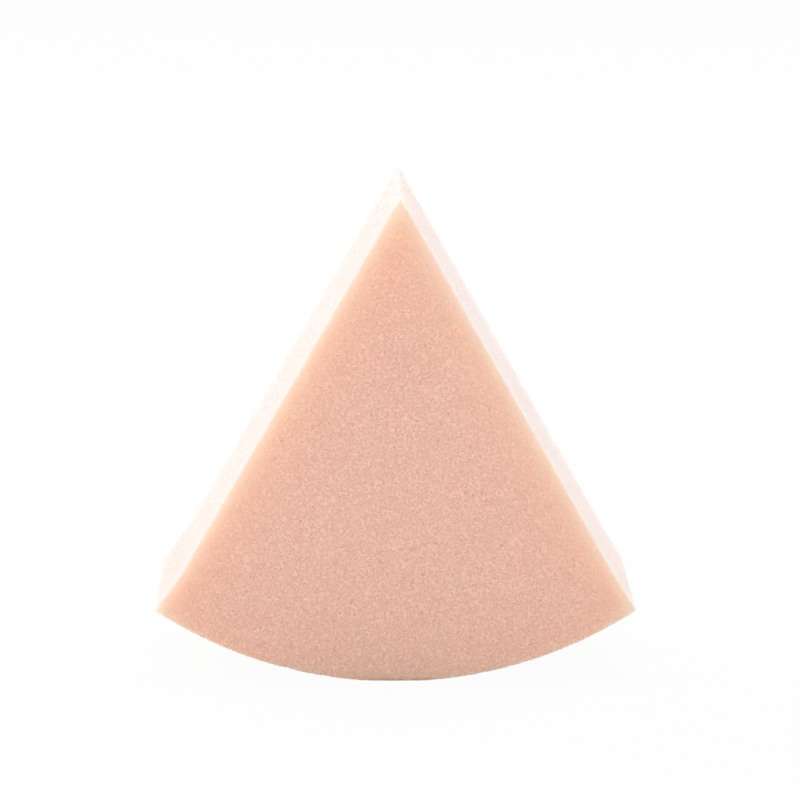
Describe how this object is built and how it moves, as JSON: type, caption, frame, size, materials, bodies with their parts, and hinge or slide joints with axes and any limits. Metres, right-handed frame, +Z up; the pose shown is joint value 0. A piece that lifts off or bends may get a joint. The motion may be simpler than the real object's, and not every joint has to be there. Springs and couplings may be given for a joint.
{
  "type": "powder puff",
  "caption": "Soft open-cell foam powder puff cut as a pie-slice wedge, with flat faces, straight sides, a pointed tip and a curved rim, for patting on make-up by hand.",
  "frame": {"origin": "middle of the strip of the curved rim that the wedge stands on, at half its thickness", "axes": "+Z up from the rim to the tip, -Y out of the front face, +X to the right as seen from the front"},
  "size_m": [0.0566, 0.022, 0.0586],
  "materials": {
    "foam": "matte open-cell latex foam, cut surface with fine pores, peach through its whole thickness"
  },
  "bodies": {
    "root": {"foam_wedge": "foam"}
  },
  "joints": []
}
